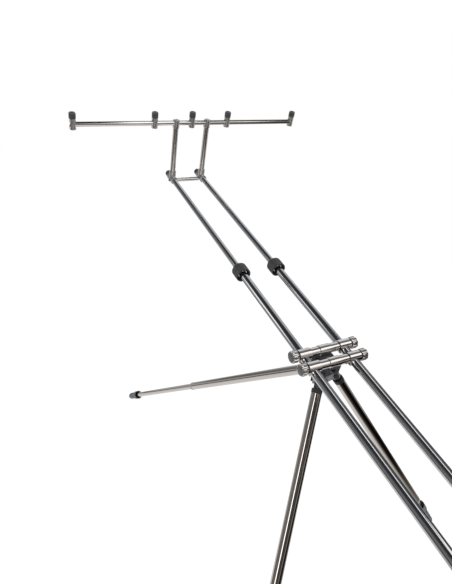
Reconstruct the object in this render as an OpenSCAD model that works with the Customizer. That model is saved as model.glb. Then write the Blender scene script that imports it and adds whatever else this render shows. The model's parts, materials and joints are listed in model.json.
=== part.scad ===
// Rod pod: a tripod that carries twin telescopic rails with a five-rod bar at each end.
// Millimetres, +Z up. The ground is z = 0 and the rails rise towards +Y.

/* [Frame] */
// Front of the rails raised by this angle, degrees
rail_tilt = 21; // [18:0.5:26]
// Lean of the tripod hub away from the vertical, degrees
hub_tilt = 6.5; // [3:0.5:10]
// Height of the leg pivots' centre over the ground
hub_height = 616; // [580:2:660]

/* [Rails] */
// Distance between the two rail axes
rail_gap = 117; // [112:1:124]
// Outer rail tube, outside diameter
rail_outer_d = 23; // [22.5:0.5:24]
// Inner rail tube, outside diameter
rail_inner_d = 19; // [17:0.5:19.5]
// Wall of the rail tubes
rail_wall = 1.5; // [1.2:0.1:1.6]
// Front end of the outer rails, from the head's centre
outer_front = 373; // [320:5:420]
// Rear end of the outer rails, behind the head's centre
outer_rear = 560; // [480:10:640]
// Front elbows, from the head's centre
elbow_y = 977; // [900:1:1000]
// Length of an inner rail held inside the outer rail
rail_grip = 116; // [90:1:150]
// Twist-lock collar diameter
collar_d = 46; // [42:1:50]
// Twist-lock collar length
collar_len = 42; // [36:1:48]
// Front post height, rail axis to bar axis
post_h = 209; // [180:1:240]
// Rear post height, rail axis to bar axis
rear_post_h = 110; // [90:1:160]

/* [Rod bars] */
// Length of a rod bar between its end sockets' axes
bar_len = 820; // [760:10:860]
// Rod bar tube diameter
bar_d = 16; // [14:0.5:17]
// Step between neighbouring middle sockets
socket_step = 137; // [120:1:160]
// Socket barrel diameter
socket_d = 21; // [20:0.5:23]
// Black socket collar diameter
socket_cap_d = 22.6; // [21.5:0.1:24]
// Tapped hole radius in a socket (3/8 inch fine thread, at its crests)
thread_r = 4.3; // [4.2:0.05:4.4]
// Tapped hole depth
thread_depth = 18; // [12:1:20]

/* [Head] */
// Distance between the two clamp bars
clamp_bar_gap = 42.4; // [42:0.2:48]
// Clamp bar axis over the rail axis
clamp_bar_lift = 6.6; // [5:0.2:7]
// Clamp sleeve diameter
sleeve_d = 28; // [27:0.5:30]
// Clamp knob diameter
knob_d = 30; // [26:0.5:34]
// Middle drum of a clamp bar, diameter
clamp_drum_d = 26; // [24.5:0.5:27.5]
// Slim part of a clamp bar, diameter
clamp_thin_d = 23; // [18:0.5:24]
// Clamp knob length
knob_len = 15.5; // [12:0.5:20]

/* [Legs] */
// Direction of the front leg, degrees from straight ahead towards the left
leg_turn = 13.2; // [5:0.2:25]
// Lean of the front leg from the hub's axis, degrees
front_spread = 54.7; // [50:0.1:60]
// Lean of the left rear leg from the hub's axis, degrees
left_spread = 35.8; // [30:0.2:40]
// Lean of the right leg from the hub's axis, degrees
right_spread = 33.7; // [30:0.1:38]
// Leg pivot distance from the hub's axis
pivot_r = 32; // [31:1:38]
// Outer leg tube diameter
leg_outer_d = 26; // [25:0.5:28]
// Inner leg tube diameter
leg_inner_d = 20; // [18:0.5:21]
// Front leg, from its pivot to the end of its outer tube
leg_outer_len = 643; // [580:1:700]
// Inner tube of a rear leg, to its spike's tip
leg_inner_len = 600; // [540:1:640]
// Length of the front leg's inner tube held inside the outer one
tube_grip = 34.6; // [30:0.2:60]

/* [Hidden] */
$fn = 64;
gap = 0.3;
slide_fit = 0.1;
pin_fit = 0.05;
pivot_drop = 20;
hub_drop = 37.8;
pivot_fwd = 8.8;
rail_x = rail_gap / 2;
bar_y = clamp_bar_gap / 2;
sleeve_in = rail_x - 16.5;
sleeve_out = rail_x + 16.5;
knob_in = sleeve_out + 4;
foot_len = 112;
elbow_back = 4;
cap_top = 38;
pivot_pin_d = 8;
brace_d = 14;
stud_d = 8;
cheek_x = 15.2;
web_y = 25;
knuckle_len = 32;
plug_len = 18;
// Legs: 0 is the front leg, 1 the left rear leg, 2 the right leg.
leg_az = [leg_turn, leg_turn + 120, leg_turn - 120];
leg_sp = [front_spread, left_spread, right_spread];
function pivot_z(k) = hub_height + pivot_r * cos(leg_az[k]) * sin(hub_tilt);
function leg_drop(k) = cos(leg_sp[k]) * cos(hub_tilt) - sin(leg_sp[k]) * cos(leg_az[k]) * sin(hub_tilt);
function leg_len(k) = pivot_z(k) / leg_drop(k);
// The front leg is drawn out and the rear legs are shut, down to the boot of the shorter one.
ring_gap = 18;
function outer_len(k) = k == 0 ? leg_outer_len : leg_len(1) - foot_len - ring_gap;
function inner_len(k) = k == 0 ? leg_len(0) - leg_outer_len + tube_grip : leg_inner_len;

// The origin sits under the middle of the extents, from the front foot to the rear socket collars.
front_y = pivot_r * cos(leg_turn) * cos(hub_tilt)
    + leg_len(0) * (sin(front_spread) * cos(leg_turn) * cos(hub_tilt) + cos(front_spread) * sin(hub_tilt));
rear_y = -(outer_rear + elbow_back + pivot_fwd + socket_cap_d / 2) * cos(rail_tilt)
    - (rear_post_h + cap_top - 2 + pivot_drop) * sin(rail_tilt) - hub_drop * sin(hub_tilt);
y_shift = -(front_y + rear_y) / 2;

steel = [0.74, 0.74, 0.75];
bright = [0.84, 0.84, 0.85];
black = [0.06, 0.06, 0.065];
grey = [0.33, 0.34, 0.36];
rubber = [0.17, 0.19, 0.18];

// The hub frame has its origin at the centre of the three leg pivots.
module in_hub() {
    translate([0, y_shift, hub_height]) rotate([hub_tilt, 0, 0]) children();
}

// The rail frame has its origin at the head's centre, on the plane of the rail axes.
module in_rail() {
    translate([0, y_shift, hub_height])
        rotate([hub_tilt, 0, 0]) translate([0, 0, hub_drop])
            rotate([rail_tilt - hub_tilt, 0, 0]) translate([0, -pivot_fwd, pivot_drop]) children();
}

module along_x(x0, x1, d) {
    translate([x0, 0, 0]) rotate([0, 90, 0]) cylinder(h = x1 - x0, d = d);
}

module along_y(y0, y1, d) {
    translate([0, y0, 0]) rotate([-90, 0, 0]) cylinder(h = y1 - y0, d = d);
}

module pair() {
    for (s = [-1, 1]) translate([s * rail_x, 0, 0]) children();
}

// Tripod hub

module hub_casting() {
    color(grey) in_hub() difference() {
        union() {
            translate([0, 0, -14]) cylinder(h = 28, d = 44);
            hub_web();
            for (k = [0:2]) rotate([0, 0, leg_turn + 120 * k]) difference() {
                for (s = [-1, 1]) {
                    translate([s * (cheek_x - 3) - 3, 10, -11]) cube([6, pivot_r - 10, 22]);
                    translate([s * (cheek_x - 3) - 3, pivot_r, 0]) rotate([0, 90, 0]) cylinder(h = 6, d = 22);
                }
                along_pivot(pivot_pin_d + 2 * pin_fit);
            }
            for (k = [0:2]) rotate([0, 0, leg_turn + 120 * k])
                translate([-10, 12, -13]) cube([20, 8, 24]);
        }
        translate([0, 0, -20]) cylinder(h = 40, d = 30);
        for (k = [0:2], m = [0, 1]) rotate([0, 0, leg_turn + 120 * k]) mirror([m, 0, 0])
            translate([0, 0, -5]) linear_extrude(20)
                polygon([[cheek_x + 1.6, web_y - 6.4], [cheek_x + 1.6, 11.5], [cheek_x + 4.8, 13]]);
    }
}

// Plate between the three forks, with a slot for each leg.
module hub_web() {
    difference() {
        translate([0, 0, -9]) linear_extrude(18) polygon([for (k = [0:2], m = [-1, 1])
            let (a = leg_turn - 120 * k)
                [m * cheek_x * cos(a) - web_y * sin(a), m * cheek_x * sin(a) + web_y * cos(a)]]);
        for (k = [0:2]) rotate([0, 0, leg_turn + 120 * k])
            translate([-cheek_x + 6, 20, -20]) cube([2 * cheek_x - 12, 40, 40]);
    }
}

module along_pivot(d) {
    translate([-20, pivot_r, 0]) rotate([0, 90, 0]) cylinder(h = 40, d = d);
}

module centre_column() {
    color(black) in_hub() {
        difference() {
            union() {
                translate([0, 0, -22]) cylinder(h = 8 - gap, d = 36);
                translate([0, 0, -15]) cylinder(h = 30, d = 29.8);
                translate([0, 0, 14 + gap]) cylinder(h = 6, d = 32);
                translate([-6.9, -9, 12]) cube([13.8, 18, hub_drop - 12]);
                translate([-6.9, 0, hub_drop]) rotate([0, 90, 0]) cylinder(h = 13.8, d = 18);
            }
            for (a = [0:30:359]) rotate([0, 0, a]) translate([17.4, 0, 14]) cylinder(h = 10, d = 4);
            translate([-10, 0, hub_drop]) rotate([0, 90, 0]) cylinder(h = 20, d = 8 + 2 * pin_fit);
            translate([0, 0, -30]) cylinder(h = 14, d = 9);
        }
    }
}

module hub_bolts() {
    color(bright) {
        in_hub() for (k = [0:2]) rotate([0, 0, leg_turn + 120 * k]) translate([0, pivot_r, 0]) {
            along_x(-15.5, 15.5, pivot_pin_d);
            along_x(15.5, 20, 13);
            along_x(-19, -15.5, 13);
        }
        in_hub() translate([0, 0, hub_drop]) {
            along_x(-24, 20.4, 8);
            along_x(20.4, 25, 13);
        }
    }
}

// Tilting head

module tilt_block() {
    color(black) in_rail() difference() {
        translate([-20, -31, -29]) cube([40, 62, 28]);
        for (s = [-1, 1]) translate([0, s * bar_y, clamp_bar_lift]) along_x(-30, 30, clamp_drum_d + 2 * gap);
        translate([-7.2, -40, -40]) cube([14.4, 80, 30.4]);
        translate([0, pivot_fwd, -pivot_drop]) along_x(-30, 30, 8 + 2 * pin_fit);
        for (s = [-1, 1]) translate([s * 13.6, s * bar_y, -40]) {
            cylinder(h = 50, d = 5.4);
            cylinder(h = 17, d = 9.4);
        }
    }
}

// Screws that hold the clamp bars on the tilt block, driven from below.
module block_screws() {
    color(bright) in_rail() for (s = [-1, 1]) translate([s * 13.6, s * bar_y, 0]) {
        translate([0, 0, -28]) cylinder(h = 4.8, d = 8.6);
        translate([0, 0, -23.4]) cylinder(h = 24.4, d = 4.8);
    }
}

module tilt_knob() {
    color(black) in_rail() translate([0, pivot_fwd, -pivot_drop]) difference() {
        union() {
            along_x(-36, -20.6, 22);
            along_x(-38, -36, 18);
        }
        along_x(-34, -20, 8 + 2 * pin_fit);
        for (a = [0:45:359]) rotate([a, 0, 0]) translate([0, 0, 12.2]) along_x(-40, -22.5, 5);
    }
}

module clamp_bar(s) {
    color(steel) in_rail() translate([0, s * bar_y, clamp_bar_lift]) difference() {
        union() {
            along_x(-16, 16, clamp_drum_d);
            along_x(-sleeve_in + gap, sleeve_in - gap, clamp_thin_d);
            along_x(-sleeve_in - 5, sleeve_in + 5, 14);
        }
        translate([s * 13.6, 0, -20]) cylinder(h = 15, d = 5);
    }
}

module clamp_bar_front() { clamp_bar(1); }
module clamp_bar_rear() { clamp_bar(-1); }

module clamp_sleeves() {
    color(steel) in_rail() for (s = [-1, 1], m = [0, 1]) mirror([m, 0, 0])
        translate([0, s * bar_y, 0]) difference() {
            union() {
                translate([0, 0, clamp_bar_lift]) along_x(sleeve_in, sleeve_out, sleeve_d);
                translate([rail_x, 0, 0]) along_y(-8.5, 8.5, rail_outer_d + 9);
            }
            translate([rail_x, 0, 0]) along_y(-30, 30, rail_outer_d + 2 * slide_fit);
            translate([0, 0, clamp_bar_lift]) {
                along_x(sleeve_in - 1, sleeve_in + 6, 14.6);
                along_x(rail_x, sleeve_out - 3, 12);
                along_x(rail_x, sleeve_out + 1, stud_d + 2 * pin_fit);
            }
        }
}

module clamp_pads() {
    color([0.7, 0.55, 0.3]) in_rail() for (s = [-1, 1], m = [0, 1]) mirror([m, 0, 0])
        translate([0, s * bar_y, 0]) difference() {
            translate([0, 0, clamp_bar_lift]) along_x(rail_x + 4, sleeve_out - 3.3, 11.8);
            translate([rail_x, 0, 0]) along_y(-30, 30, rail_outer_d + 2 * slide_fit);
        }
}

module clamp_washers() {
    color(black) in_rail() for (s = [-1, 1], m = [0, 1]) mirror([m, 0, 0])
        translate([0, s * bar_y, clamp_bar_lift]) difference() {
            along_x(sleeve_out + 0.2, knob_in - 0.2, 24);
            along_x(sleeve_out - 1, knob_in + 1, stud_d + 0.6);
        }
}

module clamp_knob(s, m) {
    color(bright) in_rail() mirror([m, 0, 0]) translate([0, s * bar_y, clamp_bar_lift]) {
        difference() {
            along_x(knob_in, knob_in + knob_len, knob_d);
            for (a = [0:45:359]) rotate([a + 22.5, 0, 0])
                translate([0, 0, knob_d / 2 + 2.6]) along_x(knob_in + 2, knob_in + 30, 9);
            along_x(knob_in + knob_len - 0.8, knob_in + 30, knob_d - 5);
        }
        along_x(sleeve_out - 3, knob_in + 1, stud_d);
    }
}

module clamp_knob_front_left() { clamp_knob(1, 1); }
module clamp_knob_front_right() { clamp_knob(1, 0); }
module clamp_knob_rear_left() { clamp_knob(-1, 1); }
module clamp_knob_rear_right() { clamp_knob(-1, 0); }

// Rails

module outer_rails() {
    color(steel) in_rail() pair() difference() {
        along_y(-outer_rear, outer_front, rail_outer_d);
        along_y(-outer_rear - 1, outer_front + 1, rail_outer_d - 2 * rail_wall);
    }
}

module rail_collar(x) {
    color(black) in_rail() translate([x, outer_front - collar_len / 2, 0]) rotate([-90, 0, 0]) difference() {
        rotate_extrude() polygon([
            [rail_outer_d / 2 + slide_fit, 12], [collar_d / 2 - 5, 12], [collar_d / 2 - 4, 0],
            [collar_d / 2 - 1, 0], [collar_d / 2, 2], [collar_d / 2, collar_len - 12],
            [collar_d / 2 - 5, collar_len - 6], [rail_inner_d / 2 + 5, collar_len],
            [rail_inner_d / 2 + slide_fit, collar_len],
            [rail_inner_d / 2 + slide_fit, collar_len / 2 + gap], [rail_outer_d / 2 + slide_fit, collar_len / 2 + gap]]);
        for (a = [0:20:359]) rotate([0, 0, a]) translate([collar_d / 2 + 1.4, 0, 5])
            cylinder(h = collar_len - 19, d = 5);
    }
}

module rail_collar_left() { rail_collar(-rail_x); }
module rail_collar_right() { rail_collar(rail_x); }

module inner_rails() {
    color(steel) in_rail() pair() difference() {
        along_y(outer_front - rail_grip, elbow_y - 2, rail_inner_d);
        along_y(outer_front - rail_grip - 1, elbow_y, rail_inner_d - 2 * rail_wall);
    }
}

// Elbow block: a barrel in line with the rail that carries the post.
module elbow(f) {
    difference() {
        union() {
            along_y(-24, 22, 27);
            cylinder(h = 28, d = 25);
            translate([0, 0, 13]) cylinder(h = 17, d = 23);
        }
        along_y(-30, -1.7, (f > 0 ? rail_inner_d : rail_outer_d) + 2 * slide_fit);
        translate([0, 0, 14.5]) cylinder(h = 30, d = rail_inner_d + 2 * slide_fit);
        along_y(2, 30, stud_d + 2 * pin_fit);
    }
}

module front_elbows() {
    color(steel) in_rail() difference() {
        pair() translate([0, elbow_y, 0]) elbow(1);
        for (m = [0, 1]) mirror([m, 0, 0]) translate([rail_x, elbow_y - 8, -4]) along_x(12.4, 20, 8.6);
    }
}

module front_brace() {
    color(steel) in_rail() translate([0, elbow_y - 8, -4]) difference() {
        along_x(-rail_x + 13.9, rail_x - 13.9, brace_d);
        along_x(-rail_x, rail_x, brace_d - 3);
    }
}

module elbow_knob(x) {
    color(black) in_rail() translate([x, elbow_y, 0]) {
        difference() {
            along_y(28, 45, 23);
            for (a = [0:30:359]) rotate([0, a, 0]) translate([12.4, 0, 0]) along_y(30, 50, 3);
        }
        along_y(3, 28.5, stud_d);
    }
}

module elbow_knob_left() { elbow_knob(-rail_x); }
module elbow_knob_right() { elbow_knob(rail_x); }

module front_posts() {
    color(steel) in_rail() pair() translate([0, elbow_y, 0]) difference() {
        translate([0, 0, 15]) cylinder(h = post_h - 24.2, d = rail_inner_d);
        translate([0, 0, 10]) cylinder(h = post_h, d = rail_inner_d - 2 * rail_wall);
    }
}

// Tee head: clamps a rod bar across the top of a post.
module tee(h) {
    translate([0, 0, h]) difference() {
        union() {
            translate([0, 0, -17]) cylinder(h = 27, d = 23);
            translate([0, 0, 10]) cylinder(h = 1.5, d = 17);
        }
        along_x(-20, 20, bar_d + 2 * slide_fit);
        translate([0, 0, -40]) cylinder(h = 31, d = rail_inner_d + 2 * slide_fit);
        translate([0, 0, 6]) cylinder(h = 20, d = 5.1);
        translate([0, -20, -13]) rotate([-90, 0, 0]) cylinder(h = 12, d = 5.1);
    }
}

module front_tees() {
    color(steel) in_rail() pair() translate([0, elbow_y, 0]) tee(post_h);
}

// Grub screws of the tees and the screws that hold the brace.
module front_screws() {
    color(black) in_rail() {
        pair() translate([0, elbow_y, post_h]) {
            translate([0, 0, 8.2]) cylinder(h = 2.8, d = 5);
            translate([0, -11.8, -13]) rotate([-90, 0, 0]) cylinder(h = 2.2, d = 5);
        }
        for (m = [0, 1]) mirror([m, 0, 0]) translate([rail_x, elbow_y - 8, -4])
            along_x(12.4, 15.4, 8);
    }
}

// Rod bars and sockets

module rod_bar() {
    difference() {
        along_x(-bar_len / 2 - 4, bar_len / 2 + 4, bar_d);
        along_x(-bar_len / 2 - 5, bar_len / 2 + 5, bar_d - 3);
    }
}

module socket_barrel() {
    difference() {
        translate([0, 0, -16]) cylinder(h = 35, d = socket_d);
        along_x(-20, 20, bar_d + 2 * slide_fit);
        translate([0, 0, 9]) cylinder(h = 20, d = 12.2);
        translate([0, -20, -11.5]) rotate([-90, 0, 0]) cylinder(h = 13, d = 4.2);
    }
    translate([0, -9.6, -11.5]) rotate([-90, 0, 0]) cylinder(h = 3, d = 4);
}

module socket_cap() {
    difference() {
        union() {
            translate([0, 0, 19 + gap]) cylinder(h = cap_top - 21 - gap, d = socket_cap_d);
            translate([0, 0, cap_top - 2]) cylinder(h = 2, d = socket_cap_d - 3);
            translate([0, 0, 10.5]) cylinder(h = 10, d = 12);
        }
        translate([0, 0, cap_top - thread_depth]) cylinder(h = 30, r = thread_r);
    }
}

module on_front_bar() { in_rail() translate([0, elbow_y, post_h]) children(); }
module on_rear_bar() { in_rail() translate([0, -outer_rear - elbow_back, rear_post_h]) children(); }

module front_rod_bar() { color(steel) on_front_bar() rod_bar(); }

module end_socket_barrels() {
    color(bright) on_front_bar() for (s = [-1, 1]) translate([s * bar_len / 2, 0, 0]) socket_barrel();
}

module end_socket_collars() {
    color(black) on_front_bar() for (s = [-1, 1]) translate([s * bar_len / 2, 0, 0]) socket_cap();
}

module socket_barrel_left() { color(bright) on_front_bar() translate([-socket_step, 0, 0]) socket_barrel(); }
module socket_collar_left() { color(black) on_front_bar() translate([-socket_step, 0, 0]) socket_cap(); }
module socket_barrel_middle() { color(bright) on_front_bar() socket_barrel(); }
module socket_collar_middle() { color(black) on_front_bar() socket_cap(); }
module socket_barrel_right() { color(bright) on_front_bar() translate([socket_step, 0, 0]) socket_barrel(); }
module socket_collar_right() { color(black) on_front_bar() translate([socket_step, 0, 0]) socket_cap(); }

// Rear end

module rear_elbows() {
    color(steel) in_rail() pair() translate([0, -outer_rear - elbow_back, 0]) mirror([0, 1, 0]) elbow(-1);
}

module rear_brace() {
    color(steel) in_rail() translate([0, -outer_rear + 4, -4]) difference() {
        along_x(-rail_x + 13.9, rail_x - 13.9, brace_d);
        along_x(-rail_x, rail_x, brace_d - 3);
    }
}

module rear_posts() {
    color(steel) in_rail() pair() translate([0, -outer_rear - elbow_back, 0]) difference() {
        translate([0, 0, 15]) cylinder(h = rear_post_h - 24.2, d = rail_inner_d);
        translate([0, 0, 10]) cylinder(h = rear_post_h, d = rail_inner_d - 2 * rail_wall);
    }
}

module rear_tees() {
    color(steel) in_rail() pair() translate([0, -outer_rear - elbow_back, 0]) tee(rear_post_h);
}

module rear_rod_bar() { color(steel) on_rear_bar() rod_bar(); }

module rear_places() {
    for (x = [-bar_len / 2, -socket_step, 0, socket_step, bar_len / 2]) translate([x, 0, 0]) children();
}

module rear_socket_barrels() { color(bright) on_rear_bar() rear_places() socket_barrel(); }
module rear_socket_collars() { color(black) on_rear_bar() rear_places() socket_cap(); }

// Legs. Each leg's frame has its origin on its pivot and the leg runs along -Z.

module in_leg(k) {
    in_hub() rotate([0, 0, leg_az[k]]) translate([0, pivot_r, 0]) rotate([leg_sp[k], 0, 0]) children();
}

module leg_knuckle(k) {
    color(black) in_leg(k) difference() {
        union() {
            rotate([0, 90, 0]) cylinder(h = 17.6, d = 20, center = true);
            translate([-8.8, -10, -knuckle_len + 4]) cube([17.6, 20, knuckle_len - 4]);
            translate([0, 0, -knuckle_len]) cylinder(h = 11, d = leg_outer_d + 0.8);
            translate([0, 0, -knuckle_len - plug_len]) cylinder(h = plug_len + 2, d = leg_outer_d - 3 - 2 * slide_fit);
        }
        rotate([0, 90, 0]) cylinder(h = 30, d = pivot_pin_d + 2 * pin_fit, center = true);
        translate([-20, -4.5, -17.5]) cube([40, 9, 9]);
    }
}

module leg_tube(k) {
    color(steel) in_leg(k) difference() {
        translate([0, 0, -outer_len(k) + 8]) cylinder(h = outer_len(k) - 8 - knuckle_len, d = leg_outer_d);
        translate([0, 0, -outer_len(k)]) cylinder(h = outer_len(k), d = leg_outer_d - 3);
    }
}

module leg_ring(k) {
    color(grey) in_leg(k) difference() {
        translate([0, 0, -outer_len(k)]) union() {
            cylinder(h = 8 - gap / 3, d = leg_outer_d + 0.8);
            cylinder(h = 26, d = leg_outer_d - 3 - 2 * slide_fit);
        }
        translate([0, 0, -outer_len(k) - 1]) cylinder(h = 40, d = leg_inner_d + 2 * slide_fit);
    }
}

module leg_inner(k) {
    color(steel) in_leg(k) translate([0, 0, -leg_len(k) + 26]) difference() {
        cylinder(h = inner_len(k) - 26, d = leg_inner_d);
        translate([0, 0, -1]) cylinder(h = inner_len(k), d = leg_inner_d - 3);
    }
}

// Rubber boot: a tapered sleeve with a flared, hollow rim that screws up to bare the spike.
module leg_boot(k) {
    color(rubber) in_leg(k) translate([0, 0, -leg_len(k)]) rotate_extrude() polygon([
        [8.2, 20], [10.6, 20], [12.6, 24.5], [13.8, 40], [14.2, foot_len - 30], [17.2, foot_len - 22],
        [17.8, foot_len], [16, foot_len], [15, foot_len - 20], [leg_inner_d / 2 + slide_fit, foot_len - 28],
        [leg_inner_d / 2 + slide_fit, 25.7], [8.2, 25.7]]);
}

module leg_spike(k) {
    color(bright) in_leg(k) translate([0, 0, -leg_len(k)]) rotate_extrude() polygon([
        [0, 0], [1, 0.4], [4.4, 8.6], [7.6, 14.6], [8, 16], [8, 25.7], [8.4, 26.3], [8.4, 44], [0, 44]]);
}

module front_leg_knuckle() { leg_knuckle(0); }
module front_leg_tube() { leg_tube(0); }
module front_leg_ring() { leg_ring(0); }
module front_leg_inner() { leg_inner(0); }
module front_leg_boot() { leg_boot(0); }
module front_leg_spike() { leg_spike(0); }
module left_leg_knuckle() { leg_knuckle(1); }
module left_leg_tube() { leg_tube(1); }
module left_leg_ring() { leg_ring(1); }
module left_leg_inner() { leg_inner(1); }
module left_leg_boot() { leg_boot(1); }
module left_leg_spike() { leg_spike(1); }
module right_leg_knuckle() { leg_knuckle(2); }
module right_leg_tube() { leg_tube(2); }
module right_leg_ring() { leg_ring(2); }
module right_leg_inner() { leg_inner(2); }
module right_leg_boot() { leg_boot(2); }
module right_leg_spike() { leg_spike(2); }

hub_casting();
centre_column();
hub_bolts();
tilt_block();
block_screws();
tilt_knob();
clamp_bar_front();
clamp_bar_rear();
clamp_sleeves();
clamp_pads();
clamp_washers();
clamp_knob_front_left();
clamp_knob_front_right();
clamp_knob_rear_left();
clamp_knob_rear_right();
outer_rails();
rail_collar_left();
rail_collar_right();
inner_rails();
front_elbows();
front_brace();
front_screws();
elbow_knob_left();
elbow_knob_right();
front_posts();
front_tees();
front_rod_bar();
end_socket_barrels();
end_socket_collars();
socket_barrel_left();
socket_collar_left();
socket_barrel_middle();
socket_collar_middle();
socket_barrel_right();
socket_collar_right();
rear_elbows();
rear_brace();
rear_posts();
rear_tees();
rear_rod_bar();
rear_socket_barrels();
rear_socket_collars();
front_leg_knuckle();
front_leg_tube();
front_leg_ring();
front_leg_inner();
front_leg_boot();
front_leg_spike();
left_leg_knuckle();
left_leg_tube();
left_leg_ring();
left_leg_inner();
left_leg_boot();
left_leg_spike();
right_leg_knuckle();
right_leg_tube();
right_leg_ring();
right_leg_inner();
right_leg_boot();
right_leg_spike();
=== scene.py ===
# %% [markdown]
# # A rod pod in Blender
# A rod pod holds fishing rods over the water. This one is a tripod with a tilting head, two telescopic
# rails and a bar with five sockets at each end. The solid model already fixes every size, so this file
# gives each piece its finish, and makes the turned and moulded pieces again with the fine shape that
# the light picks out: scallops, knurls, threads, rims and small bevels.
# %% Load the frame
import math
import bpy
import bmesh
from mathutils import Matrix, Vector
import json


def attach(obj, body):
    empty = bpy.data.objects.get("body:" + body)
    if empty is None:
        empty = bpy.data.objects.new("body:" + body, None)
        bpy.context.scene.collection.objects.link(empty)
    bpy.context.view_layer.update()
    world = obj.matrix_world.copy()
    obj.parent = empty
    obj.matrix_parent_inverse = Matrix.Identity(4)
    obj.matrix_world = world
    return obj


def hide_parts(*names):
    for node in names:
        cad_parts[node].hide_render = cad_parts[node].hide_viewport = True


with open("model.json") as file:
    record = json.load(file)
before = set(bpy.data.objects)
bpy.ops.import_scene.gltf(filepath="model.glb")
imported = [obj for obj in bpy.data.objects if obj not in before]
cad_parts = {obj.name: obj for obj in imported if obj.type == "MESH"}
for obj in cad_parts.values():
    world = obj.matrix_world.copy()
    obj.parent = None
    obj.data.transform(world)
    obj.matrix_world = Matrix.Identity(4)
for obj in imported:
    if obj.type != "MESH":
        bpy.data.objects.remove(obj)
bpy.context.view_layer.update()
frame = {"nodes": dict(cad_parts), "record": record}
joints = {j["name"]: j for j in frame["record"]["behaviour"]["joints"]}

# %% [markdown]
# ## Where things are
# The rails lean, and so does each leg. Every group of pieces gets a matrix, read from the joints, that
# takes a plain upright drawing to its place: along the rails, or down a leg.
# %% Places read from the joints


def placed(origin, x_axis, z_axis):
    """A matrix whose columns are the given x and z directions, at an origin."""
    z = Vector(z_axis).normalized()
    x = Vector(x_axis)
    x = (x - z * x.dot(z)).normalized()
    y = z.cross(x)
    turn = Matrix((x, y, z)).transposed().to_4x4()
    return Matrix.Translation(Vector(origin)) @ turn


RIGHT = Vector((1, 0, 0))
FORWARD = Vector(joints["rails_slide"]["axis"])
UP = RIGHT.cross(FORWARD)
corners = [a + b for a in ("front", "rear") for b in ("_left", "_right")]
clamps = [Vector(joints["clamp_turn_" + c]["pos_m"]) for c in corners]
LEGS = ("front", "left", "right")
MM = 0.001
# Places along the rails and above them, in mm from the head's centre
CLAMP_Y, CLAMP_LIFT = 21.2, 6.6
COLLAR_Y, FRONT_Y = 352, 977
FRONT_BAR, REAR_BAR = (FRONT_Y, 209), (-564, 110)
HEAD = sum(clamps, Vector()) / 4 - UP * CLAMP_LIFT * MM
print("head centre", tuple(round(v, 4) for v in HEAD))
print("rail slope", round(math.degrees(math.asin(FORWARD.z)), 1))

# %% [markdown]
# ## The camera
# The photograph looks from behind and from the left, a little downwards. The place and the turn were
# solved from the straight edges of the rails, bars and posts, and its place counts from the head.
# %% Camera
CAMERA_AT = HEAD + Vector((-0.659, -0.8317, 0.5340))
CAMERA_TURN = (70.69, 0.87, -25.41)
camera_data = bpy.data.cameras.new("camera")
camera_data.lens = 29.3
camera_data.sensor_width = 36
camera = bpy.data.objects.new("camera", camera_data)
camera.location = CAMERA_AT
camera.rotation_euler = [math.radians(a) for a in CAMERA_TURN]
bpy.context.scene.collection.objects.link(camera)
bpy.context.scene.camera = camera
bpy.context.scene.view_settings.view_transform = "Standard"
print("camera at", tuple(round(v, 4) for v in CAMERA_AT))

# %% [markdown]
# ## Finishes
# Polished tube looks like what it mirrors, drawn out into long streaks, with faint marks left by the
# polishing belt. A noise squeezed along the tube gives those marks. The drawing space of each finish is
# turned so that its X runs along the tube.
# %% Material helpers


def new_material(name, color, metallic, roughness):
    """A material with its shader, its nodes and its links."""
    material = bpy.data.materials.new(name)
    material.use_nodes = True
    nodes, links = material.node_tree.nodes, material.node_tree.links
    shader = nodes["Principled BSDF"]
    shader.inputs["Base Color"].default_value = (*color, 1)
    shader.inputs["Metallic"].default_value = metallic
    shader.inputs["Roughness"].default_value = roughness
    return material, nodes, links, shader


def pattern_space(nodes, links, direction, scale):
    """Object coordinates, turned so that X runs along a direction, then stretched."""
    where = nodes.new("ShaderNodeTexCoord")
    turn = nodes.new("ShaderNodeMapping")
    across = (0, 0, 1) if abs(direction.z) < 0.9 else (0, 1, 0)
    upright = placed((0, 0, 0), across, direction).to_3x3().transposed()
    turn.inputs["Rotation"].default_value = upright.to_euler()
    stretch = nodes.new("ShaderNodeMapping")
    stretch.inputs["Scale"].default_value = scale
    links.new(where.outputs["Object"], turn.inputs["Vector"])
    links.new(turn.outputs["Vector"], stretch.inputs["Vector"])
    return stretch.outputs["Vector"]


def noise(nodes, links, space, scale, detail=3):
    """A noise texture's grey output."""
    texture = nodes.new("ShaderNodeTexNoise")
    texture.inputs["Scale"].default_value = scale
    texture.inputs["Detail"].default_value = detail
    links.new(space, texture.inputs["Vector"])
    return texture.outputs["Fac"]


def ramp(nodes, links, grey, stops):
    """A colour ramp from a list of (place, colour)."""
    node = nodes.new("ShaderNodeValToRGB")
    for i, (place, color) in enumerate(stops):
        stop = node.color_ramp.elements[i] if i < 2 else node.color_ramp.elements.new(place)
        stop.position = place
        stop.color = (*color, 1)
    links.new(grey, node.inputs["Fac"])
    return node.outputs["Color"]


def stretched(nodes, links, grey, start, end, low, high, ease="LINEAR"):
    """A grey moved from the range start..end to the range low..high."""
    node = nodes.new("ShaderNodeMapRange")
    node.interpolation_type = ease
    for label, number in (("From Min", start), ("From Max", end), ("To Min", low), ("To Max", high)):
        node.inputs[label].default_value = number
    links.new(grey, node.inputs["Value"])
    return node.outputs["Result"]


def bump(nodes, links, shader, height, strength, distance):
    """Small relief from a grey height."""
    node = nodes.new("ShaderNodeBump")
    node.inputs["Strength"].default_value = strength
    node.inputs["Distance"].default_value = distance
    links.new(height, node.inputs["Height"])
    links.new(node.outputs["Normal"], shader.inputs["Normal"])


# %% Steel, plastic, rubber, casting, brass


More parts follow.
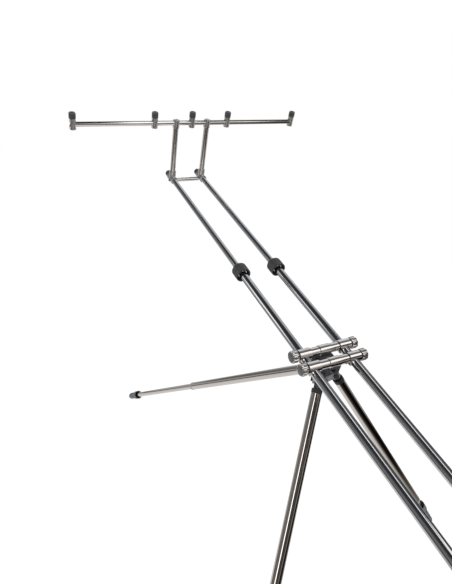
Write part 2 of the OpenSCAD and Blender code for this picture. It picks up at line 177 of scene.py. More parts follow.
def polished_steel(name, direction, color=(0.64, 0.64, 0.65), rough=0.08):
    """Belt-polished stainless tube that runs along a direction."""
    material, nodes, links, shader = new_material(name, color, 1.0, rough)
    marks = noise(nodes, links, pattern_space(nodes, links, direction, (30, 30, 900)), 1.0, 2)
    tone = ramp(nodes, links, marks, [(0.35, tuple(c * 0.93 for c in color)), (0.65, color)])
    links.new(tone, shader.inputs["Base Color"])
    haze = noise(nodes, links, pattern_space(nodes, links, direction, (14, 14, 5)), 1.0, 4)
    dull = stretched(nodes, links, haze, 0.0, 1.0, rough * 0.7, rough * 1.4)
    links.new(dull, shader.inputs["Roughness"])
    bump(nodes, links, shader, marks, 0.05, 0.0001)
    return material


def grained(name, color, roughness, grain, depth, metallic=0.0, worn=None):
    """Moulded or cast surface: a fine grain, slow patches of tone and gloss, and convex corners painted pale
    as a painted highlight.

    A colour Mix node keeps its factor, its two colours and its result in sockets 0, 6, 7 and 2.
    """
    material, nodes, links, shader = new_material(name, color, metallic, roughness)
    space = pattern_space(nodes, links, Vector((0, 0, 1)), (1, 1, 1))
    fine = noise(nodes, links, space, grain, 4)
    slow = noise(nodes, links, space, grain / 30, 3)
    light = worn if worn else tuple(min(1, c * 1.35 + 0.01) for c in color)
    tone = ramp(nodes, links, slow, [(0.35, color), (0.75, light)])
    # Convex corners, found by pointiness, get a paler colour: a painted highlight along the edges.
    painted_edge_highlight = nodes.new("ShaderNodeMix")
    painted_edge_highlight.data_type = "RGBA"
    corner = nodes.new("ShaderNodeNewGeometry").outputs["Pointiness"]
    patches = noise(nodes, links, space, grain / 12, 4)
    links.new(stretched(nodes, links, corner, 0.53, 0.60, 0.0, 0.55), painted_edge_highlight.inputs[0])
    links.new(tone, painted_edge_highlight.inputs[6])
    painted_edge_highlight.inputs[7].default_value = (*(min(1, c * 1.9 + 0.03) for c in color), 1)
    links.new(painted_edge_highlight.outputs[2], shader.inputs["Base Color"])
    dull = stretched(nodes, links, patches, 0.3, 0.7, roughness * 0.82, roughness * 1.2)
    links.new(dull, shader.inputs["Roughness"])
    bump(nodes, links, shader, fine, 0.35, depth)
    return material


LEG_AXES = {w: Vector(joints[w + "_leg_telescope"]["axis"]) for w in LEGS}
RAIL_STEEL = polished_steel("rail_steel", FORWARD)
# The posts' steel is paler and warmer than the rails' steel: painted light, standing in for the brighter
# reflections that the posts show.
POST_STEEL_PAINTED_PALER = polished_steel("post_steel_painted_paler", UP, (0.88, 0.85, 0.82), 0.20)
BAR_STEEL = polished_steel("bar_steel", RIGHT, (0.80, 0.775, 0.76), 0.10)
LEG_STEEL = {w: polished_steel(w + "_leg_steel", a, (0.64, 0.60, 0.565)) for w, a in LEG_AXES.items()}
BRIGHT = polished_steel("bright_turned_steel", RIGHT, (0.82, 0.80, 0.785), 0.045)
SATIN_STEEL = polished_steel("satin_steel", UP, (0.84, 0.82, 0.80), 0.34)
BLACK = grained("black_plastic", (0.014, 0.014, 0.016), 0.42, 2600, 0.0002)
KNURL_BLACK = grained("knurled_black", (0.030, 0.033, 0.031), 0.27, 1800, 0.0002)
CAP_BLACK = grained("socket_cap_black", (0.040, 0.040, 0.041), 0.24, 1900, 0.0002)
KNOB_FACE = grained("knob_disc_grey", (0.10, 0.10, 0.105), 0.38, 2200, 0.0002, 0.4)
# The casting's grey is set paler than its own colour: painted light, standing in for light on it in its
# shaded place under the head.
CASTING_PAINTED_PALER = grained("grey_casting", (0.27, 0.28, 0.29), 0.46, 1500, 0.0004, 0.3, (0.36, 0.37, 0.38))
RUBBER = grained("grey_rubber", (0.10, 0.115, 0.115), 0.6, 1900, 0.0004)
BRASS = grained("brass", (0.55, 0.38, 0.16), 0.3, 1500, 0.0001, 1.0)
print("materials:", len(bpy.data.materials))

# %% [markdown]
# ## Tubes and rings that keep their solid
# Tubes, posts, bars, bolts and lock rings already have the right shape, so only their finish changes.
# %% Finish the carried-over nodes


def finish(material, *names):
    """Gives CAD nodes one material in every slot."""
    for name in names:
        mesh = frame["nodes"][name].data
        for i in range(len(mesh.materials)):
            mesh.materials[i] = material
        if not mesh.materials:
            mesh.materials.append(material)


finish(RAIL_STEEL, "outer_rails", "inner_rails")
finish(POST_STEEL_PAINTED_PALER, "front_posts", "rear_posts")
finish(BAR_STEEL, "front_rod_bar", "rear_rod_bar", "front_brace", "rear_brace")
finish(BRIGHT, "block_screws")
finish(BLACK, "clamp_washers", "front_screws", "hub_bolts")
finish(BRASS, "clamp_pads")
for w in LEGS:
    finish(LEG_STEEL[w], w + "_leg_tube", w + "_leg_inner")
    finish(CASTING_PAINTED_PALER, w + "_leg_ring")

# %% [markdown]
# ## Tools for turned pieces
# Most small parts of a rod pod come off a lathe. `turned` spins an outline of (radius, height) points in
# millimetres. A dip lets the outer wall follow scallops. `stamp` runs a node group once and keeps its mesh.
# `piece` joins the parts, hides the solids that they stand for, and sets them riding on a body.
# %% Turned shapes, stamped patterns, soft edges
ON_AXIS = 1e-6
FLAT_BELOW, SHARP_ABOVE, HARD_ABOVE = math.radians(0.8), math.radians(30), math.radians(32)


def turned(outline, matrix, steps=96, dip=None, threshold=0.0):
    """Spins a closed outline round Z; dip(angle) squeezes the wall in towards the threshold radius."""
    points, rings = [], []
    full = max(r for r, z in outline) - threshold
    for r, z in outline:
        if r < ON_AXIS:
            rings.append([len(points)] * steps)
            points.append(Vector((0, 0, z)) * MM)
            continue
        rings.append(list(range(len(points), len(points) + steps)))
        for i in range(steps):
            a = 2 * math.pi * i / steps
            rr = r - (dip(a) * (r - threshold) / full if dip and r > threshold else 0)
            points.append(Vector((rr * math.cos(a), rr * math.sin(a), z)) * MM)
    faces = []
    for k in range(len(rings)):
        low, high = rings[k], rings[(k + 1) % len(rings)]
        for i in range(steps):
            j = (i + 1) % steps
            corner = [low[i], low[j], high[j], high[i]]
            face = [c for n, c in enumerate(corner) if c not in corner[:n]]
            if len(face) > 2:
                faces.append(face)
    return [matrix @ p for p in points], faces


def scallops(count, outer, cutter, centre, phase):
    """Depth of round scallops cut in a wheel, as a function of the angle.

    The cutter's radius and its centre's distance from the axis are in mm, as the outer radius is.
    """
    def dip(a):
        off = (a - phase + math.pi / count) % (2 * math.pi / count) - math.pi / count
        s = cutter ** 2 - (centre * math.sin(off)) ** 2
        if s <= 0:
            return 0.0
        return max(0.0, outer - (centre * math.cos(off) - math.sqrt(s)))
    return dip


def new_group(name, *inputs):
    """A geometry node group with inputs of (name, socket type, value) and one geometry output."""
    group = bpy.data.node_groups.new(name, "GeometryNodeTree")
    for label, kind, value in inputs:
        socket = group.interface.new_socket(name=label, in_out="INPUT", socket_type=kind)
        if value is not None:
            socket.default_value = value
    group.interface.new_socket(name="Geometry", in_out="OUTPUT", socket_type="NodeSocketGeometry")
    return group


def rib_group():
    """Rounded ribs stood in a ring: a knurl."""
    group = new_group("knurl", ("Count", "NodeSocketInt", 30), ("Radius", "NodeSocketFloat", 0.01),
                      ("Rib", "NodeSocketVector", (0.001, 0.001, 0.01)), ("Height", "NodeSocketFloat", 0.0),
                      ("Material", "NodeSocketMaterial", None))
    nodes, links = group.nodes, group.links
    given = nodes.new("NodeGroupInput")
    result = nodes.new("NodeGroupOutput")
    circle = nodes.new("GeometryNodeMeshCircle")
    rib = nodes.new("GeometryNodeMeshUVSphere")
    rib.inputs["Segments"].default_value = 8
    rib.inputs["Rings"].default_value = 6
    rib.inputs["Radius"].default_value = 1.0
    scale = nodes.new("GeometryNodeTransform")
    place = nodes.new("GeometryNodeInstanceOnPoints")
    face_out = nodes.new("FunctionNodeAlignEulerToVector")
    where = nodes.new("GeometryNodeInputPosition")
    lift = nodes.new("ShaderNodeCombineXYZ")
    move = nodes.new("GeometryNodeTransform")
    real = nodes.new("GeometryNodeRealizeInstances")
    smooth = nodes.new("GeometryNodeSetShadeSmooth")
    paint = nodes.new("GeometryNodeSetMaterial")
    links.new(given.outputs["Count"], circle.inputs["Vertices"])
    links.new(given.outputs["Radius"], circle.inputs["Radius"])
    links.new(rib.outputs["Mesh"], scale.inputs["Geometry"])
    links.new(given.outputs["Rib"], scale.inputs["Scale"])
    links.new(circle.outputs["Mesh"], place.inputs["Points"])
    links.new(scale.outputs["Geometry"], place.inputs["Instance"])
    links.new(where.outputs["Position"], face_out.inputs["Vector"])
    links.new(face_out.outputs["Rotation"], place.inputs["Rotation"])
    links.new(given.outputs["Height"], lift.inputs["Z"])
    links.new(place.outputs["Instances"], move.inputs["Geometry"])
    links.new(lift.outputs["Vector"], move.inputs["Translation"])
    links.new(move.outputs["Geometry"], real.inputs["Geometry"])
    links.new(real.outputs["Geometry"], smooth.inputs["Geometry"])
    links.new(smooth.outputs["Geometry"], paint.inputs["Geometry"])
    links.new(given.outputs["Material"], paint.inputs["Material"])
    links.new(paint.outputs["Geometry"], result.inputs["Geometry"])
    return group


def thread_group():
    """A helix swept with a small round section: the crest of an inside thread."""
    group = new_group("thread", ("Turns", "NodeSocketFloat", 14.0), ("Radius", "NodeSocketFloat", 0.0046),
                      ("Length", "NodeSocketFloat", 0.018), ("Crest", "NodeSocketFloat", 0.0004),
                      ("Material", "NodeSocketMaterial", None))
    nodes, links = group.nodes, group.links
    given = nodes.new("NodeGroupInput")
    result = nodes.new("NodeGroupOutput")
    helix = nodes.new("GeometryNodeCurveSpiral")
    helix.inputs["Resolution"].default_value = 28
    section = nodes.new("GeometryNodeCurvePrimitiveCircle")
    section.inputs["Resolution"].default_value = 5
    sweep = nodes.new("GeometryNodeCurveToMesh")
    sweep.inputs["Fill Caps"].default_value = True
    real = nodes.new("GeometryNodeRealizeInstances")
    paint = nodes.new("GeometryNodeSetMaterial")
    links.new(given.outputs["Turns"], helix.inputs["Rotations"])
    links.new(given.outputs["Radius"], helix.inputs["Start Radius"])
    links.new(given.outputs["Radius"], helix.inputs["End Radius"])
    links.new(given.outputs["Length"], helix.inputs["Height"])
    links.new(given.outputs["Crest"], section.inputs["Radius"])
    links.new(helix.outputs["Curve"], sweep.inputs["Curve"])
    links.new(section.outputs["Curve"], sweep.inputs["Profile Curve"])
    links.new(sweep.outputs["Mesh"], real.inputs["Geometry"])
    links.new(real.outputs["Geometry"], paint.inputs["Geometry"])
    links.new(given.outputs["Material"], paint.inputs["Material"])
    links.new(paint.outputs["Geometry"], result.inputs["Geometry"])
    return group


def stamp(group, matrix, **values):
    """Runs a node group with the given inputs and returns its points and faces, placed."""
    host = bpy.data.objects.new("stamp", bpy.data.meshes.new("stamp"))
    bpy.context.scene.collection.objects.link(host)
    modifier = host.modifiers.new("stamp", "NODES")
    modifier.node_group = group
    for item in group.interface.items_tree:
        if item.in_out == "INPUT" and item.name in values:
            modifier[item.identifier] = values[item.name]
    graph = bpy.context.evaluated_depsgraph_get()
    mesh = bpy.data.meshes.new_from_object(host.evaluated_get(graph))
    result = [matrix @ v.co for v in mesh.vertices], [list(p.vertices) for p in mesh.polygons]
    bpy.data.objects.remove(host)
    bpy.data.meshes.remove(mesh)
    return result


def softened(node, width):
    """A node's solid again, with its hard edges broken by a small chamfer as a machinist would."""
    bm = bmesh.new()
    bm.from_mesh(frame["nodes"][node].data)
    bmesh.ops.remove_doubles(bm, verts=bm.verts, dist=1e-6)
    bmesh.ops.dissolve_limit(bm, angle_limit=FLAT_BELOW, verts=bm.verts, edges=bm.edges)
    hard = [e for e in bm.edges if len(e.link_faces) == 2 and e.calc_face_angle(0) > HARD_ABOVE]
    bmesh.ops.bevel(bm, geom=hard, offset=width * MM, offset_type="OFFSET", segments=2, profile=0.7,
                    affect="EDGES", clamp_overlap=True)
    bm.verts.ensure_lookup_table()
    bm.verts.index_update()
    result = [v.co.copy() for v in bm.verts], [[v.index for v in f.verts] for f in bm.faces]
    bm.free()
    return result


def piece(name, body, material, slot, nodes, *parts, even=False):
    """Joins parts in one mesh object that rides a body and stands for the given nodes.

    With even, the broad faces set the shading and the narrow chamfers don't bend the reflections.
    """
    points, faces = [], []
    for part_points, part_faces in parts:
        start = len(points)
        points += part_points
        faces += [[start + i for i in face] for face in part_faces]
    mesh = bpy.data.meshes.new(name)
    mesh.from_pydata(points, [], faces)
    bm = bmesh.new()
    bm.from_mesh(mesh)
    bmesh.ops.recalc_face_normals(bm, faces=bm.faces)
    open_edges = sum(1 for e in bm.edges if len(e.link_faces) != 2)
    for face in bm.faces:
        face.smooth = True
    bm.to_mesh(mesh)
    bm.free()
    mesh.set_sharp_from_angle(angle=SHARP_ABOVE)
    mesh.materials.append(material)
    obj = bpy.data.objects.new(name, mesh)
    bpy.context.scene.collection.objects.link(obj)
    if even:
        obj.modifiers.new("even_shading", "WEIGHTED_NORMAL").keep_sharp = True
        bpy.context.view_layer.update()
        seen = obj.evaluated_get(bpy.context.evaluated_depsgraph_get())
        obj.data = bpy.data.meshes.new_from_object(seen)
        obj.modifiers.clear()
    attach(obj, body)
    if nodes:
        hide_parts(*nodes)
    if open_edges:
        print("  open edges in", name, open_edges)
    return obj


KNURL, THREAD = rib_group(), thread_group()


def on_rail(x, y, z, axis="z"):
    """Place in the rails' own frame, in mm, with the piece's Z along an axis."""
    way = {"x": RIGHT, "-x": -RIGHT, "y": FORWARD, "-y": -FORWARD, "z": UP, "-z": -UP}[axis]
    side_way = UP if axis in ("x", "-x", "y", "-y") else RIGHT
    return placed(HEAD + (RIGHT * x + FORWARD * y + UP * z) * MM, side_way, way)


def ribs(matrix, count, radius, rib, height, material):
    """A knurl as a part for a piece: the ribs' half sizes and the height of their middles, in mm."""
    return stamp(KNURL, matrix, Count=count, Radius=radius * MM, Rib=[v * MM for v in rib],
                 Height=height * MM, Material=material)


RAIL_X = Vector(joints["collar_turn_right"]["pos_m"]).x / MM
SIDES = (("left", -RAIL_X), ("right", RAIL_X))
print("rail spacing", round(2 * RAIL_X, 1), "mm")

# %% [markdown]
# ## Clamp knobs
# Four wheels pull the clamps tight on the rails. Each is turned from steel, scalloped for wet fingers,
# and closed by a dark disc. The studs run through a black washer into the sleeve.
# %% Clamp knobs with discs
KNOB_R, KNOB_START, KNOB_END = 15.0, 79.0, 94.5
KNOB_OUT = [(0, 72), (3.4, 72), (4, 72.6), (4, KNOB_START), (13.9, KNOB_START), (14.7, 79.3),
            (KNOB_R, 80.1), (KNOB_R, 92.9), (14.6, 93.9), (13.8, KNOB_END), (13.0, KNOB_END), (12.7, 94.2),
            (12.7, 93.4), (0, 93.4)]
NOTCHES, NOTCH_R, NOTCH_OUT, NOTCH_FLOOR = 8, 4.5, KNOB_R + 2.8, 12.9
DISC_OUT = [(0, 93.5), (12.4, 93.5), (12.5, 93.7), (12.5, 94.4), (12.2, 94.8), (11.8, 94.9), (0, 95.1)]
for fore, y in (("front", CLAMP_Y), ("rear", -CLAMP_Y)):
    for hand, way in (("left", "-x"), ("right", "x")):
        where = on_rail(0, y, CLAMP_LIFT, way)
        knob = "clamp_knob_%s_%s" % (fore, hand)
        body = "clamp_%s_%s" % (fore, hand)
        cut = scallops(NOTCHES, KNOB_R, NOTCH_R, NOTCH_OUT, math.pi / NOTCHES)
        piece(knob + "_wheel", body, BRIGHT, "bright_steel", [knob],
              turned(KNOB_OUT, where, 192, cut, NOTCH_FLOOR))
        piece(knob + "_disc", body, KNOB_FACE, "black_plastic", [], turned(DISC_OUT, where, 96))
print("knobs done")

# %% [markdown]
# ## Twist-lock collars
# A quarter turn of the big black collar locks the inner rail. It is a knurled plastic drum, hollow at the
# back, where a bright collet grips the outer rail, and its cone closes round the thin tube.
# %% Collars
DRUM_R, LIP_R = 21.9, 22.5
COLLAR_OUT = [(11.7, 12), (17.4, 12), (18.2, 11), (18.9, 1.2), (19.3, 0.3), (20.2, 0), (21.4, 0),
              (22.2, 0.5), (LIP_R, 1.6), (LIP_R, 3), (DRUM_R, 3.6), (DRUM_R, 29), (LIP_R, 29.6), (LIP_R, 31),
              (22.0, 32.2), (19.2, 35.2), (18.6, 36.6), (15.2, 41), (14.4, 41.8), (13.5, 42), (10.3, 42),
              (9.7, 41.4), (9.65, 21.3), (11.7, 21.3)]
COLLET_OUT = [(11.8, 7.2), (13.2, 7), (14.6, 8.2), (15.8, 9.8), (16.4, 11.4), (16.4, 12.2), (11.8, 12.2)]
for hand, x in SIDES:
    where = on_rail(x, COLLAR_Y, 0, "y")
    piece("collar_drum_" + hand, "collar_" + hand, KNURL_BLACK, "black_plastic", ["rail_collar_" + hand],
          turned(COLLAR_OUT, where, 120),
          ribs(where, 48, DRUM_R, (0.75, 0.85, 13.0), 16.3, KNURL_BLACK))
    piece("collar_collet_" + hand, "collar_" + hand, BRIGHT, "polished_steel", [],
          turned(COLLET_OUT, where, 96))
print("collars done")

# %% [markdown]
# ## End knobs and tilt knob
# Small black thumb screws hold the front frame on the rails and lock the tilt of the head.
# %% Thumb screws
END_R, TILT_R = 11.1, 10.4
END_OUT = [(0, 3), (3.5, 3), (4, 3.5), (4, 28), (10.5, 28), (END_R, 28.6), (END_R, 44.0), (10.2, 44.9),
           (8.6, 45), (8.2, 44.4), (0, 44.4)]
for hand, x in SIDES:
    where = on_rail(x, FRONT_Y, 0, "y")
    piece("end_knob_" + hand + "_head", "end_knob_" + hand, KNURL_BLACK, "black_plastic",
          ["elbow_knob_" + hand], turned(END_OUT, where, 96),
          ribs(where, 34, END_R, (0.5, 0.6, 7.4), 36.3, KNURL_BLACK))
TILT_OUT = [(4.05, 20.6), (9.2, 20.6), (TILT_R, 21.4), (TILT_R, 34.8), (9.4, 36), (8.9, 36.2), (8.9, 37.4),
            (8.3, 38), (0, 38), (0, 34), (4.05, 34)]
where = placed(joints["tilt_knob_turn"]["pos_m"], UP, -RIGHT)
piece("tilt_knob_head", "tilt_lock", KNURL_BLACK, "black_plastic", ["tilt_knob"],
      turned(TILT_OUT, where, 96),
      ribs(where, 30, TILT_R, (0.6, 0.7, 6.4), 28.2, KNURL_BLACK))
print("thumb screws done")

# %% [markdown]
# ## Rod sockets
# Each socket carries one rod rest or bite alarm. A bright barrel slides on the bar, and a black collar on
# top holds the tapped hole, so the collar is drawn with its thread inside and a fine knurl outside.
# %% Socket collars and barrels
CAP_R, CAP_LIP_R = 10.8, 11.1
CAP_OUT = [(0, 10.5), (5.6, 10.5), (6, 11), (6, 19.3), (10.7, 19.3), (CAP_LIP_R, 19.7),
           (CAP_LIP_R, 21.4), (CAP_R, 21.7), (CAP_R, 33.6), (CAP_LIP_R, 33.9), (CAP_LIP_R, 35.4),
           (10.5, 36), (10.0, 36.4), (9.8, 37.4), (9.3, 38), (5.4, 38), (4.76, 37.3), (4.76, 20), (0, 18.6)]
THREAD_START, THREAD_R, THREAD_LONG, THREAD_CREST, THREAD_TURNS = 20, 4.62, 16.6, 0.34, 13.0
HALF, STEP, BARREL_CHAMFER = 410, 137, 0.5


def socket_top(x, y, z):
    """One black collar with knurl and thread, on a bar at y, z."""
    where = on_rail(x, y, z)
    return [turned(CAP_OUT, where, 96), ribs(where, 44, CAP_R, (0.35, 0.42, 5.9), 27.6, CAP_BLACK),
            stamp(THREAD, where @ Matrix.Translation((0, 0, THREAD_START * MM)), Turns=THREAD_TURNS,
                  Radius=THREAD_R * MM, Length=THREAD_LONG * MM, Crest=THREAD_CREST * MM,
                  Material=CAP_BLACK)]


piece("socket_tops_ends", "rod_bar", CAP_BLACK, "black_plastic", ["end_socket_collars"],
      *socket_top(-HALF, *FRONT_BAR), *socket_top(HALF, *FRONT_BAR))
for label, x in (("left", -STEP), ("middle", 0), ("right", STEP)):
    piece("socket_top_" + label, "socket_" + label, CAP_BLACK, "black_plastic", ["socket_collar_" + label],
          *socket_top(x, *FRONT_BAR))
    piece("socket_body_" + label, "socket_" + label, SATIN_STEEL, "bright_steel",
          ["socket_barrel_" + label], softened("socket_barrel_" + label, BARREL_CHAMFER), even=True)
piece("socket_bodies_ends", "rod_bar", SATIN_STEEL, "bright_steel", ["end_socket_barrels"],
      softened("end_socket_barrels", BARREL_CHAMFER), even=True)
tops = [part for x in (-HALF, -STEP, 0, STEP, HALF) for part in socket_top(x, *REAR_BAR)]
piece("socket_tops_rear", "rails", CAP_BLACK, "black_plastic", ["rear_socket_collars"], *tops)
piece("socket_bodies_rear", "rails", SATIN_STEEL, "bright_steel", ["rear_socket_barrels"],
      softened("rear_socket_barrels", BARREL_CHAMFER), even=True)
print("sockets done")

# %% [markdown]
# ## Machined and cast blocks
# Their shape is the solid's, with the sharp corners broken. A broken corner is what catches the light on
# real metal. A small black screw under the near clamp bar has no solid of its own.
# %% Softened blocks
BLOCKS = [("hub_bracket", "hub", CASTING_PAINTED_PALER, "grey_casting", ["hub_casting"], 0.8),
          ("column_body", "hub", BLACK, "black_plastic", ["centre_column"], 0.5),
          ("head_block", "head", BLACK, "black_plastic", ["tilt_block"], 0.8),
          ("clamp_bars", "head", BRIGHT, "polished_steel", ["clamp_bar_front", "clamp_bar_rear"], 0.6),
          ("clamp_sleeve_set", "head", BRIGHT, "polished_steel", ["clamp_sleeves"], 0.6),
          ("elbow_blocks_front", "front_frame", SATIN_STEEL, "polished_steel", ["front_elbows"], 0.6),
          ("elbow_blocks_rear", "rails", SATIN_STEEL, "polished_steel", ["rear_elbows"], 0.6),
          ("tee_heads_front", "front_frame", SATIN_STEEL, "polished_steel", ["front_tees"], 0.6),
          ("tee_heads_rear", "rails", SATIN_STEEL, "polished_steel", ["rear_tees"], 0.6)]
BLOCKS += [(w + "_knuckle_block", w + "_leg", BLACK, "black_plastic", [w + "_leg_knuckle"], 0.7)
           for w in LEGS]
for name, body, material, slot, solids, chamfer in BLOCKS:
    piece(name, body, material, slot, solids, *[softened(n, chamfer) for n in solids], even=True)
SCREW_OUT = [(0, 0), (2.9, 0), (3.2, 0.3), (3.2, 5.6), (2.8, 6.1), (1.7, 6.1), (1.5, 5.8), (1.5, 2.6),
             (0, 2.6)]
SCREW_AT = (44.5, -CLAMP_Y, -6.9)
piece("sleeve_screw", "head", BLACK, "black_plastic", [], turned(SCREW_OUT, on_rail(*SCREW_AT, "-z"), 48))
print("blocks done")

# %% [markdown]
# ## Feet
# A rubber boot covers the steel spike on hard ground and is wound up to bare it on soft ground. The boot
# is moulded with grip rings and a flared, hollow rim.
# %% Boots and spikes
RIM = 112
GRIP_R, GRIP_WIDENS, GRIP_DEPTH, GRIP_START, GRIP_STEP, GRIP_COUNT = 13.0, 0.02, 0.35, 27, 1.8, 31
GRIPS = [(GRIP_R + GRIP_WIDENS * i + (GRIP_DEPTH if i % 2 else 0), GRIP_START + GRIP_STEP * i)
         for i in range(GRIP_COUNT)]
BOOT_OUT = [(8.2, 20), (10.0, 20), (10.8, 20.6), (12.2, 24), (12.7, 26)] + GRIPS + [
    (14.1, 83), (14.6, 84.5), (16.9, 88.5), (17.3, 90), (17.7, RIM - 1.5), (17.4, RIM - 0.3), (16.9, RIM),
    (16.2, RIM - 0.6), (15.2, 92), (14.4, 89), (10.1, RIM - 28), (10.1, 25.7), (8.2, 25.7)]
SPIKE_OUT = [(0, 0), (0.6, 0.15), (1.2, 0.9), (4.2, 8.4), (4.9, 9.6), (7.2, 14), (7.8, 15.2), (8, 16.4),
             (8, 26.3), (8.4, 26.3), (8.4, 44), (0, 44)]
for w in LEGS:
    axis = LEG_AXES[w]
    pivot = Vector(joints[w + "_leg_fold"]["pos_m"])
    where = placed(pivot - axis * (pivot.z / axis.z), RIGHT, -axis)
    piece(w + "_boot_moulding", w + "_foot", RUBBER, "grey_rubber", [w + "_leg_boot"],
          turned(BOOT_OUT, where, 96))
    piece(w + "_spike_turned", w + "_leg_lower", BRIGHT, "bright_steel", [w + "_leg_spike"],
          turned(SPIKE_OUT, where, 64))
print("feet done")

# %% [markdown]
# ## The studio
# The photograph has a plain white ground. The floor is white to the camera and keeps the shadow.
# Polished steel shows its surroundings and nothing else, so the room that it mirrors is made with care:
# a white sweep of paper close round the tripod, a dark room past it, a pale wall in front, and five soft
# boxes. Light Path's Is Glossy Ray gives that paper and that room to mirrors alone, so they never light
# anything else. Places and sizes here are in metres.
# %% Floor, with the paper sweep that the steel mirrors


def smooth_step(nodes, links, value, start, end, low, high):
    """A soft change from low to high while the value goes from start to end."""
    return stretched(nodes, links, value, start, end, low, high, "SMOOTHSTEP")


def combined(nodes, links, operation, a, b):
    """Two greys joined by a maths operation; b may be a plain number."""
    node = nodes.new("ShaderNodeMath")
    node.operation = operation
    links.new(a, node.inputs[0])
    if isinstance(b, (int, float)):
        node.inputs[1].default_value = b
    else:
        links.new(b, node.inputs[1])
    return node.outputs["Value"]


FLOOR_HALF, FLOOR_GLOW, GLOW_SHARE = 30, 1.06, 0.86
PAPER_MIDDLE = (-0.1, 0.25, 0)
floor_mesh = bpy.data.meshes.new("floor")
rim = [(x * FLOOR_HALF, y * FLOOR_HALF, 0) for x, y in ((-1, -1), (1, -1), (1, 1), (-1, 1))]
floor_mesh.from_pydata(rim, [], [(0, 1, 2, 3)])
floor = bpy.data.objects.new("floor", floor_mesh)
bpy.context.scene.collection.objects.link(floor)
floor_material, nodes, links, shader = new_material("white_floor", (0.97, 0.97, 0.97), 0.0, 0.8)
path = nodes.new("ShaderNodeLightPath")
glow = nodes.new("ShaderNodeEmission")
glow.inputs["Strength"].default_value = FLOOR_GLOW
seen = nodes.new("ShaderNodeMixShader")
links.new(combined(nodes, links, "MULTIPLY", path.outputs["Is Camera Ray"], GLOW_SHARE), seen.inputs["Fac"])
links.new(shader.outputs["BSDF"], seen.inputs[1])
links.new(glow.outputs["Emission"], seen.inputs[2])
where = nodes.new("ShaderNodeTexCoord")
apart = nodes.new("ShaderNodeSeparateXYZ")
links.new(where.outputs["Object"], apart.inputs["Vector"])
away = nodes.new("ShaderNodeVectorMath")
away.operation = "DISTANCE"
away.inputs[1].default_value = PAPER_MIDDLE
links.new(where.outputs["Object"], away.inputs[0])
# The mirrored paper: bright near its middle, cut off at the rear, dimmer to the right, with a pale strip
# far right, another in front and one far behind.
near = smooth_step(nodes, links, away.outputs["Value"], 0.55, 1.45, 0.85, 0.09)
rear_edge = smooth_step(nodes, links, apart.outputs["Y"], -0.66, -0.36, 0.09, 1.0)
right_part = smooth_step(nodes, links, apart.outputs["X"], 1.4, 2.2, 0.0, 0.55)
front_part = smooth_step(nodes, links, apart.outputs["Y"], 1.2, 2.4, 0.0, 0.5)
right_fall = smooth_step(nodes, links, apart.outputs["X"], 0.28, 0.60, 1.0, 0.40)
paper = combined(nodes, links, "MAXIMUM", combined(nodes, links, "MULTIPLY", near, right_fall), right_part)
far_rear = smooth_step(nodes, links, apart.outputs["Y"], -2.8, -1.8, 0.28, 0.0)
ends = combined(nodes, links, "MAXIMUM", front_part, far_rear)
sweep = combined(nodes, links, "MAXIMUM", combined(nodes, links, "MULTIPLY", paper, rear_edge), ends)
mirrored = nodes.new("ShaderNodeEmission")
links.new(sweep, mirrored.inputs["Strength"])
links.new(ramp(nodes, links, sweep, [(0.0, (1, 0.85, 0.70)), (0.45, (1, 1, 1))]), mirrored.inputs["Color"])
whole = nodes.new("ShaderNodeMixShader")
links.new(path.outputs["Is Glossy Ray"], whole.inputs["Fac"])
links.new(seen.outputs["Shader"], whole.inputs[1])
links.new(mirrored.outputs["Emission"], whole.inputs[2])
links.new(whole.outputs["Shader"], nodes["Material Output"].inputs["Surface"])
floor_mesh.materials.append(floor_material)

# %% Soft boxes for the mirrors, lamps for the rest


def soft_box(name, at, size, strength, look_at, tint):
    """A glowing panel that only mirrors see."""
    mesh = bpy.data.meshes.new(name)
    w, h = size[0] / 2, size[1] / 2
    mesh.from_pydata([(-w, -h, 0), (w, -h, 0), (w, h, 0), (-w, h, 0)], [], [(0, 1, 2, 3)])
    facing = (Vector(look_at) - Vector(at)).normalized()
    mesh.transform(placed(at, (0.3, 0.1, 1) if abs(facing.z) < 0.9 else (1, 0, 0), facing))
    obj = bpy.data.objects.new(name, mesh)
    bpy.context.scene.collection.objects.link(obj)
    material, _, _, shader = new_material(name + "_glow", (0, 0, 0), 0.0, 0.9)
    shader.inputs["Emission Color"].default_value = (*tint, 1)
    shader.inputs["Emission Strength"].default_value = strength
    mesh.materials.append(material)
    obj.visible_camera = False
    obj.visible_shadow = False
    obj.visible_diffuse = False


def lamp(name, at, size, power):
    """A soft square lamp that points at the hub and that mirrors don't see."""
    data = bpy.data.lights.new(name, "AREA")
    data.size = size
    data.energy = power
    obj = bpy.data.objects.new(name, data)
    obj.matrix_world = placed(at, (1, 0, 0.01), Vector(at) - LAMP_AIM)
    obj.visible_glossy = False
    bpy.context.scene.collection.objects.link(obj)


LAMP_AIM = Vector((0, 0, 0.6))
lamp("key", (-2.2, -1.6, 3.0), 1.6, 45)
lamp("fill", (2.6, -1.4, 2.2), 1.6, 22)
WHITE, WARM = (1, 1, 1), (1.0, 0.95, 0.91)
# Name, place, width and height, strength, the point that it faces, tint
SOFT_BOXES = (("box_left_front", (-1.3, 0.80, 1.20), (0.55, 0.55), 1.5, (0, 0.1, 0.7), WHITE),
              ("box_left_rear", (-1.3, -1.15, 0.95), (1.1, 0.36), 2.6, (0, -0.4, 0.5), WARM),
              ("box_above", (0.44, -0.8, 2.6), (0.5, 1.8), 1.4, (0, -0.5, 0.6), WHITE),
              ("box_rear", (0.75, -1.25, 1.72), (0.85, 1.1), 1.35, (0, -0.2, 0.9), WARM),
              ("box_far_rear", (0.6, -2.0, 1.5), (1.0, 1.3), 0.65, (0, 0.5, 1.2), WARM))
for box in SOFT_BOXES:
    soft_box(*box)

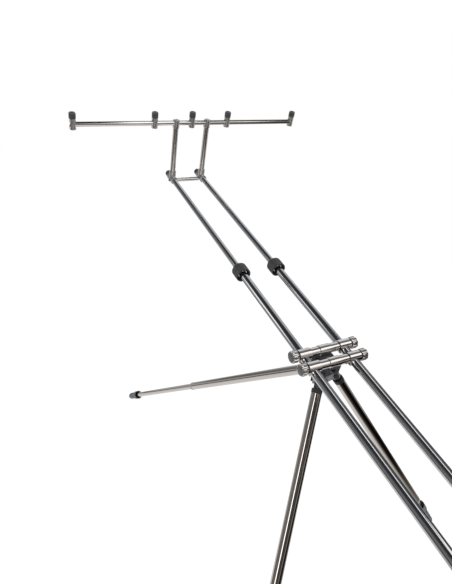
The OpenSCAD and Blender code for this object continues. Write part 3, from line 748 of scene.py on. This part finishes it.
# %% The room round the studio
world = bpy.data.worlds.new("studio")
bpy.context.scene.world = world
world.use_nodes = True
nodes, links = world.node_tree.nodes, world.node_tree.links
path = nodes.new("ShaderNodeLightPath")
toward = nodes.new("ShaderNodeTexCoord").outputs["Generated"]
height = nodes.new("ShaderNodeSeparateXYZ")
links.new(toward, height.inputs["Vector"])
WALLS = ((0.0, 0.16), (0.15, 0.19), (0.32, 0.22), (0.64, 0.10), (0.82, 0.03), (0.97, 0.04))
walls = ramp(nodes, links, height.outputs["Z"], [(place, (grey,) * 3) for place, grey in WALLS])


def lobe(direction, start, end, low, high):
    """Brightness round one direction of the room."""
    dot = nodes.new("ShaderNodeVectorMath")
    dot.operation = "DOT_PRODUCT"
    dot.inputs[1].default_value = Vector(direction).normalized()
    links.new(toward, dot.inputs[0])
    return smooth_step(nodes, links, dot.outputs["Value"], start, end, low, high)


dim_rear = lobe((0.2, -1, 0), 0.1, 0.7, 1.0, 0.35)
dim_right = lobe((1, -0.1, 0.5), 0.86, 0.97, 1.0, 0.2)
pale_front = lobe((0.433, 0.75, 0.5), 0.74, 0.95, 0.0, 0.62)
pale_top = lobe((0.574, 0, 0.819), 0.93, 0.995, 0.0, 0.14)
dim = combined(nodes, links, "MULTIPLY", dim_rear, dim_right)
pale = combined(nodes, links, "ADD", pale_front, pale_top)
room = combined(nodes, links, "ADD", combined(nodes, links, "MULTIPLY", walls, dim), pale)


def background(strength, tint=(1, 1, 1)):
    """A plain background shader."""
    node = nodes.new("ShaderNodeBackground")
    node.inputs["Color"].default_value = (*tint, 1)
    if isinstance(strength, float):
        node.inputs["Strength"].default_value = strength
    else:
        links.new(strength, node.inputs["Strength"])
    return node.outputs["Background"]


def switched(ray, otherwise, shown):
    """Shows one background to a kind of ray and the other to the rest."""
    mix = nodes.new("ShaderNodeMixShader")
    links.new(path.outputs[ray], mix.inputs["Fac"])
    links.new(otherwise, mix.inputs[1])
    links.new(shown, mix.inputs[2])
    return mix.outputs["Shader"]


DAYLIGHT, ROOM_TINT = 0.75, (0.96, 0.985, 1.03)
light = switched("Is Glossy Ray", background(DAYLIGHT), background(room, ROOM_TINT))
links.new(switched("Is Camera Ray", light, background(1.0)), nodes["World Output"].inputs["Surface"])
print("studio ready")

# %% The end
import json
